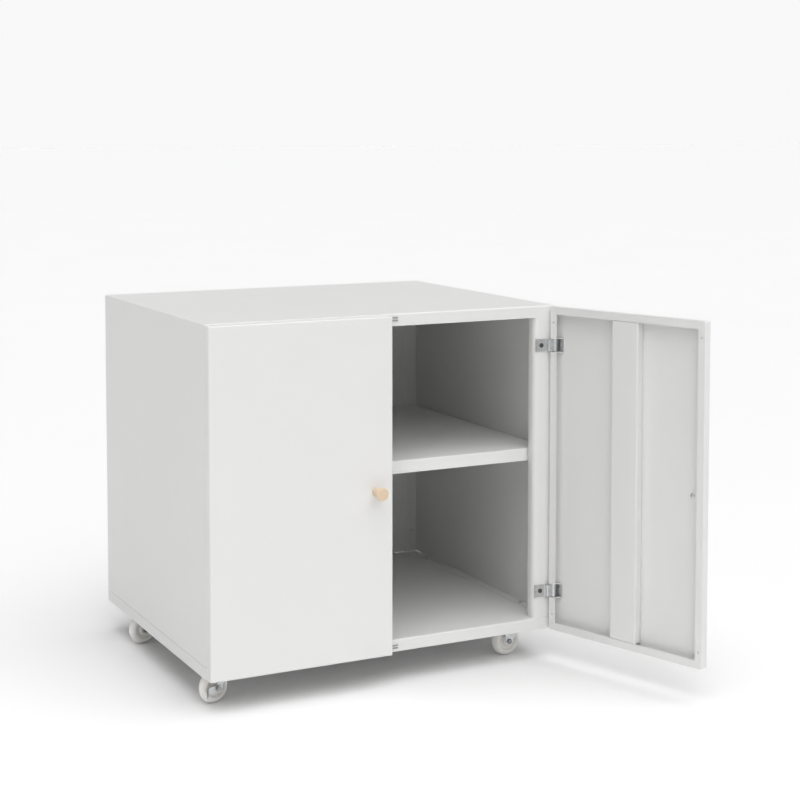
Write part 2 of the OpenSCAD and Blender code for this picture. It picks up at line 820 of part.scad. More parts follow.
top_pan();
bottom_pan();
left_side_panel();
right_side_panel();
back_panel();
shelf();
shelf_brackets();
shelf_screws();
frame_screws();
back_screws();
catch_housings();
catch_magnets();
catch_poles();
catch_screws();
left_hinge_plates();
right_hinge_plates();
hinge_screws();
caster_plates();
caster_studs();
caster_nuts();
king_pins();
swivel_balls();
race_cups();

module place_door(side) {
    if (side == "left") mirror([1, 0, 0]) children();
    else swung(open_angle) children();
}

for (side = ["left", "right"]) {
    place_door(side) color(paint) door_pan();
    place_door(side) color(paint) door_stiffener();
    place_door(side) color(zinc) hinge_leaves();
    place_door(side) color(steel) hinge_pins();
    place_door(side) color(beech) knob();
    place_door(side) color(zinc) knob_screw();
}

for (c = CASTERS) trailing(c) {
    color(zinc) fork();
    color(steel) bush();
    color(nylon) wheel();
}

for (c = CASTERS) if (c[4]) trailing(c) {
    color(steel) axle_bolt();
    color(zinc) axle_nut();
    color(zinc) brake_lever();
}

for (c = CASTERS) if (!c[4]) trailing(c) {
    color(steel) axle_pin();
    color(steel) axle_collar();
}
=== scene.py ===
"""Looks of a mobile printer stand: a white two-door sheet-steel cabinet on four swivel casters.

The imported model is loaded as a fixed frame. Small turned, stamped and moulded pieces are worked out
here as numpy surfaces around it, and every piece gets a procedural finish.
"""

import sys
import json
import logging
import math
from dataclasses import dataclass
from enum import Enum
from typing import Callable, Iterable, Optional, Sequence, Tuple

import bpy
import numpy as np
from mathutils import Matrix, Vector


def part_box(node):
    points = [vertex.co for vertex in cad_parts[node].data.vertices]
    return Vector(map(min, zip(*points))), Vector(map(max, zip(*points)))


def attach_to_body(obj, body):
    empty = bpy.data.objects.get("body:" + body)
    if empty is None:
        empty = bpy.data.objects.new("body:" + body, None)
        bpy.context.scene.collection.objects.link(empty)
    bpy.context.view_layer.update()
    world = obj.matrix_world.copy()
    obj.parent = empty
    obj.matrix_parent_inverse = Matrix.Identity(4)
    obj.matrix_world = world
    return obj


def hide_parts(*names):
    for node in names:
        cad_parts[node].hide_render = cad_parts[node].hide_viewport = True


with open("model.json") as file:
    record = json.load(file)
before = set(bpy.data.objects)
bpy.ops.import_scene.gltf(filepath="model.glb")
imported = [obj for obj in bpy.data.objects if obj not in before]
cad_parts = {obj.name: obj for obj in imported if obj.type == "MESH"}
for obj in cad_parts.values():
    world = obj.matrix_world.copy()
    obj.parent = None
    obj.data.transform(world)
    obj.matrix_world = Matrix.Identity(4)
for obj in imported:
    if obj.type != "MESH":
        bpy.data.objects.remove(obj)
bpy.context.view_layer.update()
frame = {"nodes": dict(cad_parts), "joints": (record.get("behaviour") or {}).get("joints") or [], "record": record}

Array = np.ndarray
Shape = Callable[[Array, Array, Array], Tuple[Array, Array]]
Colour = Tuple[float, float, float]

LOG = logging.getLogger("printer_stand")
MM = 0.001
FULL_TURN = 2 * math.pi
SAME = 1e-7  # measures closer than this, in metres, count as one
THREAD_CUT = 0.10  # a thread's depth, as a share of its radius


class Hand(Enum):
    """The two doors, by the side of the cabinet that carries them."""

    LEFT = "left"
    RIGHT = "right"


class Corner(Enum):
    """The four casters."""

    FRONT_LEFT = "front_left"
    FRONT_RIGHT = "front_right"
    REAR_LEFT = "rear_left"
    REAR_RIGHT = "rear_right"


# ---------------------------------------------------------------- surfaces


@dataclass(frozen=True)
class Shell:
    """One closed surface.

    Fields: points is (n, 3), quads is (m, 4) and triangles is (k, 3), both of point numbers.
    """

    points: Array
    quads: Array
    triangles: Array

    def volume(self) -> float:
        """Signed volume: a sixth of the sum of each triangle's triple product.

        Returns: a positive number where the faces point outwards.
        """
        split = np.concatenate([self.quads[:, [0, 1, 2]], self.quads[:, [0, 2, 3]], self.triangles])
        a, b, c = (self.points[split[:, k]] for k in range(3))
        return float(np.einsum("ij,ij->i", a, np.cross(b, c)).sum() / 6)

    def outward(self) -> "Shell":
        """Returns: the same surface with its faces pointing outwards."""
        if self.volume() >= 0:
            return self
        return Shell(self.points, self.quads[:, ::-1], self.triangles[:, ::-1])

    def moved(self, turn: Array, origin: Array) -> "Shell":
        """Turns the surface and carries it to a place.

        Args: turn is a (3, 3) rotation, origin the place of the surface's own zero.
        Returns: the moved surface.
        """
        return Shell(self.points @ turn.T + origin, self.quads, self.triangles)


def basis(axis: Sequence[float]) -> Array:
    """Rotation that carries +Z to an axis, keeping the turned X as level as it can be.

    Args: axis is any direction.
    Returns: a (3, 3) rotation whose columns are the turned X, Y and Z.
    """
    z = np.asarray(axis, float)
    z = z / np.linalg.norm(z)
    side = np.cross([0.0, 0.0, 1.0], z)
    if np.linalg.norm(side) < 1e-6:
        side = np.array([1.0, 0.0, 0.0])
    x = side / np.linalg.norm(side)
    return np.stack([x, np.cross(z, x), z], axis=1)


def steps_round(around: int) -> Array:
    """Returns: the angles of that many equal steps in a turn, in radians."""
    return np.arange(around) * FULL_TURN / around


def bands(steps: int, around: int, count: int) -> Array:
    """Quads between neighbouring rings: quad (i, j) joins step j of ring i to the next step and ring.

    Args: steps is how many bands, around the points in a ring, count the rings there are in all.
    Returns: (steps * around, 4) point numbers.
    """
    i, j = np.meshgrid(np.arange(steps), np.arange(around), indexing="ij")
    up, on = (i + 1) % count, (j + 1) % around
    quads = np.stack([i * around + j, i * around + on, up * around + on, up * around + j], axis=-1)
    return quads.reshape(-1, 4)


def caps(around: int, count: int) -> Array:
    """Triangles that close the first and the last ring, each to a pole numbered after all the rings.

    Args: around is the points in a ring, count the rings.
    Returns: (2 * around, 3) point numbers.
    """
    j = np.arange(around)
    on = (j + 1) % around
    pole, last = count * around, (count - 1) * around
    return np.concatenate([
        np.stack([np.full(around, pole), on, j], axis=-1),
        np.stack([np.full(around, pole + 1), last + j, last + on], axis=-1),
    ])


def lathe(profile: Array, around: int, shape: Optional[Shape] = None, looped: bool = False) -> Shell:
    """Turns a profile round +Z.

    The point at profile step i and angle t is (r cos t, r sin t, h), where r and h are the profile's
    radius and height, passed through shape(t, r, h) first where one is given. A profile that isn't
    looped starts and ends on the axis, and each end is closed to one pole.

    Args: profile is (n, 2) radius and height, around the number of steps in a turn, shape an
        optional change of radius and height, looped whether the profile closes on itself.
    Returns: the closed surface.
    """
    rows = profile if looped else profile[1:-1]
    t, r = np.meshgrid(steps_round(around), rows[:, 0])
    h = np.broadcast_to(rows[:, 1:2], r.shape)
    if shape is not None:
        r, h = shape(t, r, h)
    points = np.stack([r * np.cos(t), r * np.sin(t), h], axis=-1).reshape(-1, 3)
    count = len(rows)
    if looped:
        return Shell(points, bands(count, around, count), np.zeros((0, 3), int)).outward()
    poles = np.array([[0, 0, profile[0, 1]], [0, 0, profile[-1, 1]]])
    points = np.concatenate([points, poles])
    return Shell(points, bands(count - 1, around, count), caps(around, count)).outward()


def tube(path: Array, radius: float, around: int = 10, tip: float = 0.6) -> Shell:
    """A round bead along an open path, rounded off to a pole at each end.

    Each ring stands square to the path: its points are path + radius (cos t * side + sin t * rise),
    where side and rise are square to the path's direction and to each other.

    Args: path is (n, 3), radius the bead's radius, around the steps in a ring, tip the end rings'
        size and the poles' reach past them, as shares of the radius.
    Returns: the closed surface.
    """
    ahead = np.gradient(path, axis=0)
    ahead /= np.linalg.norm(ahead, axis=1, keepdims=True)
    normal = np.cross(path[1] - path[0], path[-1] - path[0])
    if np.linalg.norm(normal) < 1e-12:
        normal = np.cross(ahead[len(path) // 2], ahead[0]) + np.array([0.0, 0.0, 1e-9])
    rise = np.broadcast_to(normal / np.linalg.norm(normal), path.shape)
    side = np.cross(rise, ahead)
    side /= np.linalg.norm(side, axis=1, keepdims=True)
    t = steps_round(around)
    swell = np.ones(len(path))
    swell[0] = swell[-1] = tip
    ring = swell[:, None, None] * radius * (
        np.cos(t)[None, :, None] * side[:, None] + np.sin(t)[None, :, None] * rise[:, None])
    points = (path[:, None] + ring).reshape(-1, 3)
    ends = np.array([path[0] - ahead[0] * radius * tip, path[-1] + ahead[-1] * radius * tip])
    n = len(path)
    return Shell(np.concatenate([points, ends]), bands(n - 1, around, n), caps(around, n)).outward()


def rounded_profile(corners: Sequence[Tuple[float, float, float]], steps: int = 6) -> Array:
    """A profile through corners, each eased by an arc-like curve.

    Each corner with an easing e is replaced by the quadratic curve from e before it to e after it:
    (1-s)^2 before + 2 s (1-s) corner + s^2 after, for s from 0 to 1.

    Args: corners are (radius, height, easing) in millimetres, steps the points on each curve.
    Returns: (n, 2) points in metres.
    """
    at = np.array([c[:2] for c in corners], float) * MM
    out = []
    for k, (_, _, ease) in enumerate(corners):
        if ease == 0 or k in (0, len(corners) - 1):
            out.append(at[k][None])
            continue
        back, fore = at[k - 1] - at[k], at[k + 1] - at[k]
        reach = [min(ease * MM, 0.49 * np.linalg.norm(v)) / np.linalg.norm(v) for v in (back, fore)]
        before, after = at[k] + back * reach[0], at[k] + fore * reach[1]
        s = np.linspace(0, 1, steps)[:, None]
        out.append((1 - s) ** 2 * before + 2 * s * (1 - s) * at[k] + s ** 2 * after)
    return np.concatenate(out)


def make_piece(name: str, shells: Iterable[Shell], finish: "Finish", sharp: float = 38.0) -> bpy.types.Object:
    """Puts closed surfaces into one mesh object at the origin.

    Args: name is the object's name, shells its surfaces, finish its look, and sharp the angle in
        degrees past which an edge is shown sharp.
    Returns: the object, dressed in its finish.
    """
    parts = [s.outward() for s in shells]
    starts = np.cumsum([0] + [len(s.points) for s in parts])
    points = np.concatenate([s.points for s in parts])
    quads = np.concatenate([s.quads + k for s, k in zip(parts, starts)])
    triangles = np.concatenate([s.triangles + k for s, k in zip(parts, starts)])
    mesh = bpy.data.meshes.new(name)
    mesh.vertices.add(len(points))
    mesh.vertices.foreach_set("co", points.astype(np.float32).ravel())
    corners = np.concatenate([quads.ravel(), triangles.ravel()]).astype(np.int32)
    mesh.loops.add(len(corners))
    mesh.loops.foreach_set("vertex_index", corners)
    sizes = np.concatenate([np.full(len(quads), 4), np.full(len(triangles), 3)])
    mesh.polygons.add(len(sizes))
    mesh.polygons.foreach_set("loop_start", (np.cumsum(sizes) - sizes).astype(np.int32))
    mesh.update(calc_edges=True)
    mesh.validate()
    mesh.shade_smooth()
    mesh.set_sharp_from_angle(angle=math.radians(sharp))
    piece = bpy.data.objects.new(name, mesh)
    bpy.context.scene.collection.objects.link(piece)
    finish.dress(piece)
    return piece


def attach(piece: bpy.types.Object, body: str, slot: str, *nodes: str) -> bpy.types.Object:
    """Makes a piece ride on a body and lets it stand for CAD nodes.

    Args: piece is the object, body the name it rides on, slot is not used, nodes the CAD nodes it replaces.
    Returns: the same piece.
    """
    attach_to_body(piece, body)
    if nodes:
        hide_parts(*nodes)
    LOG.info("%s rides on %s, %d faces", piece.name, body, len(piece.data.polygons))
    return piece


# ---------------------------------------------------------------- reading the frame


def node_points(node: str) -> Tuple[Array, Array]:
    """A CAD node's merged points and its triangles.

    Args: node is the node's name.
    Returns: (n, 3) points and (m, 3) point numbers.
    """
    mesh = frame["nodes"][node].data
    co = np.empty(len(mesh.vertices) * 3, np.float32)
    mesh.vertices.foreach_get("co", co)
    corners = np.empty(len(mesh.loops), np.int32)
    mesh.loops.foreach_get("vertex_index", corners)
    merged, index = np.unique(np.round(co.reshape(-1, 3), 6), axis=0, return_inverse=True)
    return merged.astype(float), index.ravel()[corners].reshape(-1, 3)


def solids_of(node: str) -> list:
    """Splits a CAD node into its separate solids.

    Every point takes the lowest label of the triangles it is in until nothing changes.

    Args: node is the node's name.
    Returns: a list of (n, 3) point arrays, in order of place.
    """
    points, triangles = node_points(node)
    label = np.arange(len(points))
    while True:
        low = label[triangles].min(axis=1)
        fresh = label.copy()
        for k in range(3):
            np.minimum.at(fresh, triangles[:, k], low)
        if (fresh == label).all():
            break
        label = fresh
    return [points[label == k] for k in np.unique(label)]


@dataclass(frozen=True)
class Spindle:
    """A turned solid found in the frame: its head's outer middle, its direction and its sizes in metres."""

    origin: Array
    direction: Array
    length: float
    head_radius: float
    shank_radius: float


def spindles(node: str, axis: Sequence[float]) -> list:
    """Finds the screws, pins or nuts of a node, each with its wide end first.

    Args: node is the node's name, axis their common direction, either way round.
    Returns: a list of Spindle.
    """
    found = []
    line = np.asarray(axis, float) / np.linalg.norm(axis)
    turn = basis(line)
    for solid in solids_of(node):
        local = solid @ turn
        middle = (local[:, :2].min(axis=0) + local[:, :2].max(axis=0)) / 2
        low, high = local[:, 2].min(), local[:, 2].max()
        away = np.linalg.norm(local[:, :2] - middle, axis=1)
        edge = 0.02 * (high - low)
        wide_low = away[local[:, 2] < low + edge].max()
        wide_high = away[local[:, 2] > high - edge].max()
        flip = wide_high > wide_low
        start = turn @ np.array([*middle, high if flip else low])
        found.append(Spindle(start, -line if flip else line, high - low,
                             max(wide_low, wide_high), min(wide_low, wide_high)))
    return found


def joint(name: str) -> dict:
    """Returns: the record's joint of that name."""
    return next(j for j in frame["joints"] if j["name"] == name)


# ---------------------------------------------------------------- finishes


class Bench:
    """Builds one material's nodes round a Principled shader."""

    def __init__(self, name: str) -> None:
        """Starts a material with a Principled shader and Object coordinates."""
        self.material = bpy.data.materials.new(name)
        self.material.use_nodes = True
        self.tree = self.material.node_tree
        self.tree.nodes.clear()
        self.shader = self.tree.nodes.new("ShaderNodeBsdfPrincipled")
        output = self.tree.nodes.new("ShaderNodeOutputMaterial")
        self.tree.links.new(self.shader.outputs["BSDF"], output.inputs["Surface"])
        self.place = self.tree.nodes.new("ShaderNodeTexCoord").outputs["Object"]

    def set(self, **values: object) -> None:
        """Sets sockets of the shader by name, with underscores for spaces."""
        for key, value in values.items():
            self.shader.inputs[key.replace("_", " ")].default_value = value

    def link(self, source: bpy.types.NodeSocket, socket: str) -> None:
        """Links a source to a socket of the shader."""
        self.tree.links.new(source, self.shader.inputs[socket])

    def mapped(self, scale: Sequence[float] = (1, 1, 1), turn_z: float = 0.0,
               centre: Sequence[float] = (0, 0, 0)) -> bpy.types.NodeSocket:
        """Object coordinates measured from a centre, turned back about Z and stretched.

        Args: scale is the stretch, turn_z the turn in radians, centre the place of the new zero.
        Returns: the vector socket.
        """
        node = self.tree.nodes.new("ShaderNodeMapping")
        node.vector_type = "TEXTURE"
        node.inputs["Location"].default_value = centre
        node.inputs["Rotation"].default_value = (0, 0, turn_z)
        node.inputs["Scale"].default_value = [1 / s for s in scale]
        self.tree.links.new(self.place, node.inputs["Vector"])
        return node.outputs["Vector"]

    def noise(self, scale: float, detail: float = 2.0, rough: float = 0.5,
              vector: Optional[bpy.types.NodeSocket] = None) -> bpy.types.NodeSocket:
        """A noise texture.

        Args: scale is its repeats per metre, detail and rough its finer levels, vector its place.
        Returns: the value socket.
        """
        node = self.tree.nodes.new("ShaderNodeTexNoise")
        node.inputs["Scale"].default_value = scale
        node.inputs["Detail"].default_value = detail
        node.inputs["Roughness"].default_value = rough
        self.tree.links.new(vector or self.place, node.inputs["Vector"])
        return node.outputs["Fac"]

    def spread(self, value: bpy.types.NodeSocket, low: float, high: float,
               start: float = 0.3, end: float = 0.7) -> bpy.types.NodeSocket:
        """Stretches a value.

        Args: value is the socket, start and end its old range, low and high its new one.
        Returns: the value socket.
        """
        node = self.tree.nodes.new("ShaderNodeMapRange")
        for key, number in (("From Min", start), ("From Max", end), ("To Min", low), ("To Max", high)):
            node.inputs[key].default_value = number
        self.tree.links.new(value, node.inputs["Value"])
        return node.outputs["Result"]

    def blend(self, share: bpy.types.NodeSocket, first: object, second: object) -> bpy.types.NodeSocket:
        """Mixes two colours, each a tuple or a socket.

        Args: share is the second one's share, first and second the colours.
        Returns: the colour socket.
        """
        node = self.tree.nodes.new("ShaderNodeMix")
        node.data_type = "RGBA"
        self.tree.links.new(share, node.inputs[0])
        for socket, colour in ((node.inputs[6], first), (node.inputs[7], second)):
            if isinstance(colour, tuple):
                socket.default_value = (*colour, 1.0)
            else:
                self.tree.links.new(colour, socket)
        return node.outputs[2]

    def bump(self, height: bpy.types.NodeSocket, distance: float, strength: float = 1.0,
             under: Optional[bpy.types.NodeSocket] = None) -> bpy.types.NodeSocket:
        """A bump, laid over another where one is given.

        Args: height is the wave, distance its size in metres, strength its share, under the other.
        Returns: the normal socket.
        """
        node = self.tree.nodes.new("ShaderNodeBump")
        node.inputs["Strength"].default_value = strength
        node.inputs["Distance"].default_value = distance
        self.tree.links.new(height, node.inputs["Height"])
        if under is not None:
            self.tree.links.new(under, node.inputs["Normal"])
        return node.outputs["Normal"]

    def mottle(self, cloud: bpy.types.NodeSocket, first: object, second: object) -> None:
        """Mixes two colours by a cloud and gives the mix to the shader as its colour."""
        self.link(self.blend(self.spread(cloud, 0.0, 1.0), first, second), "Base Color")


@dataclass(frozen=True)
class Finish:
    """A finish: its name, and the way its material is made."""

    name: str

    def nodes(self, bench: Bench) -> None:
        """Fills the material; each finish has its own."""
        raise NotImplementedError

    def material(self) -> bpy.types.Material:
        """Returns: the finish's material, made once."""
        made = bpy.data.materials.get(self.name)
        if made is None:
            bench = Bench(self.name)
            self.nodes(bench)
            made = bench.material
        return made

    def dress(self, piece: bpy.types.Object) -> None:
        """Puts the material on every slot of a piece."""
        piece.data.materials.clear()
        piece.data.materials.append(self.material())


@dataclass(frozen=True)
class PowderCoat(Finish):
    """Satin powder coat: a fine orange peel on a longer, flatter flow, and a faint cloudiness."""

    light: Colour = (0.832, 0.830, 0.822)
    deep: Colour = (0.822, 0.821, 0.814)
    peel_size: float = 1.1 * MM

    def nodes(self, bench: Bench) -> None:
        """Fine and long waves go to the normal, clouds to the colour and the gloss."""
        cloud = bench.noise(7.0, 3.0, 0.55)
        bench.mottle(cloud, self.light, self.deep)
        bench.link(bench.spread(bench.noise(38.0, 4.0, 0.6), 0.43, 0.47), "Roughness")
        flow = bench.bump(bench.noise(70.0, 2.0), 0.00010, 0.35)
        bench.link(bench.bump(bench.noise(1 / self.peel_size, 2.0, 0.6), 0.00005, 0.55, flow), "Normal")
        bench.set(IOR=1.5, Specular_IOR_Level=0.45)


@dataclass(frozen=True)
class ZincPlate(Finish):
    """Bright zinc plate on stamped steel: rolling lines, faint crystal clouds and handling marks."""

    bright: Colour = (0.74, 0.75, 0.76)
    dull: Colour = (0.56, 0.575, 0.60)
    warm: Colour = (0.72, 0.70, 0.60)
    stretch: Tuple[float, float, float] = (1.0, 1.0, 9.0)

    def nodes(self, bench: Bench) -> None:
        """Clouds mix two greys; stretched lines vary the gloss and the normal."""
        cloud = bench.noise(260.0, 4.0, 0.65)
        tone = bench.blend(bench.spread(cloud, 0.0, 1.0), self.bright, self.dull)
        tint = bench.spread(bench.noise(55.0, 2.0), 0.0, 0.22)
        bench.link(bench.blend(tint, tone, self.warm), "Base Color")
        lines = bench.noise(900.0, 3.0, 0.6, bench.mapped(self.stretch))
        bench.link(bench.spread(lines, 0.22, 0.42), "Roughness")
        bench.link(bench.bump(lines, 0.00003, 0.5), "Normal")
        bench.set(Metallic=1.0)


@dataclass(frozen=True)
class DrawnSteel(Finish):
    """Plain drawn or cold-headed steel, darker than zinc, with fine drawing lines."""

    tone: Colour = (0.50, 0.50, 0.51)
    shade: Colour = (0.33, 0.33, 0.345)
    stretch: Tuple[float, float, float] = (1.0, 1.0, 14.0)

    def nodes(self, bench: Bench) -> None:
        """Speckle mixes two greys; drawing lines vary the gloss."""
        speckle = bench.noise(700.0, 5.0, 0.7)
        bench.mottle(speckle, self.tone, self.shade)
        lines = bench.noise(1600.0, 2.0, 0.5, bench.mapped(self.stretch))
        bench.link(bench.spread(lines, 0.24, 0.40), "Roughness")
        bench.link(bench.bump(lines, 0.00002, 0.4), "Normal")
        bench.set(Metallic=1.0)


@dataclass(frozen=True)
class Nylon(Finish):
    """Natural nylon: milky, a little translucent, with a mould's fine spark texture."""

    milk: Colour = (0.945, 0.935, 0.905)
    cream: Colour = (0.915, 0.895, 0.845)
    inner_light: float = 0.12
    inner_reach: Colour = (1.0, 0.85, 0.65)
    inner_depth: float = 0.004

    def nodes(self, bench: Bench) -> None:
        """Slow clouds mix two creams; a spark texture gives the bump."""
        bench.mottle(bench.noise(90.0, 3.0), self.milk, self.cream)
        bench.link(bench.spread(bench.noise(420.0, 3.0), 0.34, 0.50), "Roughness")
        bench.link(bench.bump(bench.noise(2400.0, 2.0), 0.00003, 0.5), "Normal")
        bench.set(Subsurface_Weight=self.inner_light, Subsurface_Radius=self.inner_reach,
                  Subsurface_Scale=self.inner_depth, IOR=1.53)


@dataclass(frozen=True)
class Beech(Finish):
    """Turned beech: rings about a line beside the knob's axis, fibres along it and short ray flecks."""

    centre: Tuple[float, float, float] = (0.0, 0.0, 0.0)
    turn_z: float = 0.0
    early: Colour = (0.80, 0.635, 0.46)
    late: Colour = (0.69, 0.51, 0.34)
    fleck: Colour = (0.52, 0.36, 0.23)
    ring_gap: float = 1.7 * MM
    pith_offset: Tuple[float, float, float] = (14 * MM, 0.0, -11 * MM)

    def nodes(self, bench: Bench) -> None:
        """Rings, fibres and flecks are measured in the knob's own directions, its axis along Y."""
        pith = tuple(c + o for c, o in zip(self.centre, self.pith_offset))
        rings = bench.tree.nodes.new("ShaderNodeTexWave")
        rings.wave_type = "RINGS"
        rings.rings_direction = "Y"
        for key, number in (("Scale", math.pi / 10 / self.ring_gap), ("Distortion", 1.6), ("Detail", 2.0),
                            ("Detail Scale", 1.2)):
            rings.inputs[key].default_value = number
        bench.tree.links.new(bench.mapped((1, 1, 1), self.turn_z, pith), rings.inputs["Vector"])
        along = bench.mapped((1.0, 0.06, 1.0), self.turn_z, self.centre)
        fibre = bench.noise(2600.0, 3.0, 0.6, along)
        wood = bench.blend(bench.spread(rings.outputs["Fac"], 0.0, 0.55, 0.2, 1.0), self.early, self.late)
        wood = bench.blend(bench.spread(fibre, 0.0, 0.45, 0.45, 0.75), wood, self.late)
        rays = bench.noise(1500.0, 1.0, 0.4, bench.mapped((1.0, 0.22, 1.0), self.turn_z, self.centre))
        bench.link(bench.blend(bench.spread(rays, 0.0, 0.5, 0.66, 0.74), wood, self.fleck), "Base Color")
        bench.link(bench.spread(fibre, 0.42, 0.58), "Roughness")
        bench.link(bench.bump(fibre, 0.00006, 0.45), "Normal")
        bench.set(Coat_Weight=0.12, Coat_Roughness=0.35, IOR=1.5)


@dataclass(frozen=True)
class MouldedPlastic(Finish):
    """White moulded plastic with a light spark texture."""

    tone: Colour = (0.80, 0.80, 0.775)
    shade_share: float = 0.94

    def nodes(self, bench: Bench) -> None:
        """A faint cloud in the colour and a fine spark texture in the bump."""
        bench.mottle(bench.noise(120.0), self.tone, tuple(c * self.shade_share for c in self.tone))
        bench.link(bench.spread(bench.noise(500.0), 0.38, 0.52), "Roughness")
        bench.link(bench.bump(bench.noise(2000.0), 0.00003, 0.5), "Normal")
        bench.set(IOR=1.5)


@dataclass(frozen=True)
class Ferrite(Finish):
    """Sintered ferrite: nearly black, dry and grainy."""

    dark: Colour = (0.03, 0.03, 0.032)
    pale: Colour = (0.08, 0.08, 0.08)

    def nodes(self, bench: Bench) -> None:
        """Grain in the colour, the gloss and the bump."""
        grain = bench.noise(1800.0, 4.0, 0.7)
        bench.mottle(grain, self.dark, self.pale)
        bench.link(bench.spread(grain, 0.55, 0.8), "Roughness")
        bench.link(bench.bump(grain, 0.00006, 0.6), "Normal")


@dataclass(frozen=True)
class StudioFloor(Finish):
    """Plain pale studio floor, matt, with the faintest mottle."""

    light: Colour = (0.965, 0.965, 0.965)
    deep: Colour = (0.955, 0.955, 0.955)

    def nodes(self, bench: Bench) -> None:
        """A very slow cloud between two near-whites."""
        bench.mottle(bench.noise(1.5), self.light, self.deep)
        bench.set(Roughness=0.9, Specular_IOR_Level=0.1)


PAINT = PowderCoat("white_powder_coat")
ZINC = ZincPlate("bright_zinc")
STEEL = DrawnSteel("drawn_steel")
# Steel darkened far below real drawn steel: painted shade, standing for the shadowed ring round the hinge screw
# heads and round the casters' spun pins.
PAINTED_SHADE_STEEL = DrawnSteel("painted_shade_steel", tone=(0.16, 0.16, 0.165), shade=(0.09, 0.09, 0.095))
NYLON = Nylon("natural_nylon")
PLASTIC = MouldedPlastic("white_moulding")
FERRITE = Ferrite("ferrite")

SLOT_FINISHES = {
    "white_paint": PAINT,
    "zinc_plate": ZINC,
    "bright_steel": STEEL,
    "nylon": NYLON,
    "catch_plastic": PLASTIC,
    "magnet": FERRITE,
    "beech": Beech("beech_spare"),
}


# ---------------------------------------------------------------- fasteners


def groove(t: Array, h: Array, pitch: float) -> Array:
    """A thread's depth share: half of 1 - cos(angle less the turns made at that height).

    Args: t is the angle, h the height, pitch the height of one turn.
    Returns: 0 at the crest to 1 at the root.
    """
    return 0.5 - 0.5 * np.cos(t - FULL_TURN * h / pitch)


@dataclass(frozen=True)
class Screw:
    """A cross-recessed pan-head screw: sizes are shares of the head's radius unless they are in metres."""

    head_height: float = 2 * MM
    dome: float = 0.40
    recess_reach: float = 0.56
    recess_width: float = 0.17
    recess_depth: float = 0.60
    pitch: float = 0.8 * MM
    around: int = 48

    def cross(self, x: Array, y: Array) -> Array:
        """Depth share of a cross recess: the deeper of two crossing slots with sloping ends.

        Args: x and y are shares of the head's radius.
        Returns: 0 outside the recess to 1 at its floor.
        """
        def slot(along: Array, over: Array) -> Array:
            """Returns: one slot's depth share."""
            wall = np.clip((self.recess_width - np.abs(over)) / (0.35 * self.recess_width), 0, 1)
            end = np.clip((self.recess_reach - np.abs(along)) / (0.55 * self.recess_reach), 0, 1)
            return wall * end
        return np.maximum(slot(x, y), slot(y, x))

    def shell(self, spindle: Spindle) -> Shell:
        """One screw from its head's crown to its tip.

        The crown falls by dome times the head's height with the cube of the radius. The recess is
        taken out of it, and the shank's radius falls by a thread's depth with the cosine of
        turns minus height over pitch.

        Args: spindle is the CAD screw it stands for.
        Returns: the closed surface, in place.
        """
        head, shank, length = spindle.head_radius, spindle.shank_radius, spindle.length
        rise = min(self.head_height, 0.6 * length)
        share = np.linspace(0, 1, 22)
        crown = np.stack([share * head * 0.97, self.dome * rise * share ** 3], axis=1)
        rim = np.array([[head, self.dome * rise + 0.06 * rise], [head, rise * 0.96], [head * 0.97, rise]])
        neck = np.array([[shank, rise], [shank, rise + 0.3 * MM]])
        run = np.arange(rise + 0.4 * MM, length - 0.5 * MM, self.pitch / 5)
        thread = np.stack([np.full(len(run), shank), run], axis=1)
        tip = np.array([[shank * 0.8, length], [0.0, length]])
        profile = np.concatenate([crown, rim, neck, thread, tip])
        depth = self.recess_depth * rise

        def shape(t: Array, r: Array, h: Array) -> Tuple[Array, Array]:
            """Returns: radius and height with the recess and the thread."""
            x, y = r * np.cos(t) / head, r * np.sin(t) / head
            on_crown = h < self.dome * rise + SAME
            h = h + np.where(on_crown, depth * self.cross(x, y), 0)
            on_thread = (h > rise + 0.35 * MM) & (h < length - 0.1 * MM) & (r < shank + SAME)
            cut = THREAD_CUT * shank * groove(t, h, self.pitch)
            return r - np.where(on_thread, cut, 0), h

        made = lathe(profile, self.around, shape)
        points = made.points.copy()
        points[-2, 2] = depth
        return Shell(points, made.quads, made.triangles).moved(basis(spindle.direction), spindle.origin)


@dataclass(frozen=True)
class Stud:
    """A headless threaded stud."""

    pitch: float = 0.8 * MM
    around: int = 32

    def shell(self, spindle: Spindle) -> Shell:
        """One stud, its radius falling by a thread's depth with the cosine of turns minus height over pitch.

        Args: spindle is the CAD stud it stands for.
        Returns: the closed surface, in place.
        """
        radius, length = spindle.shank_radius, spindle.length
        run = np.arange(0.3 * MM, length - 0.3 * MM, self.pitch / 5)
        profile = np.concatenate([
            np.array([[0.0, 0.0], [radius * 0.85, 0.0]]), np.stack([np.full(len(run), radius), run], axis=1),
            np.array([[radius * 0.85, length], [0.0, length]])])

        def shape(t: Array, r: Array, h: Array) -> Tuple[Array, Array]:
            """Returns: radius and height with the thread."""
            cut = THREAD_CUT * radius * groove(t, h, self.pitch)
            return r - np.where(r > radius * 0.9, cut, 0), h

        return lathe(profile, self.around, shape).moved(basis(spindle.direction), spindle.origin)


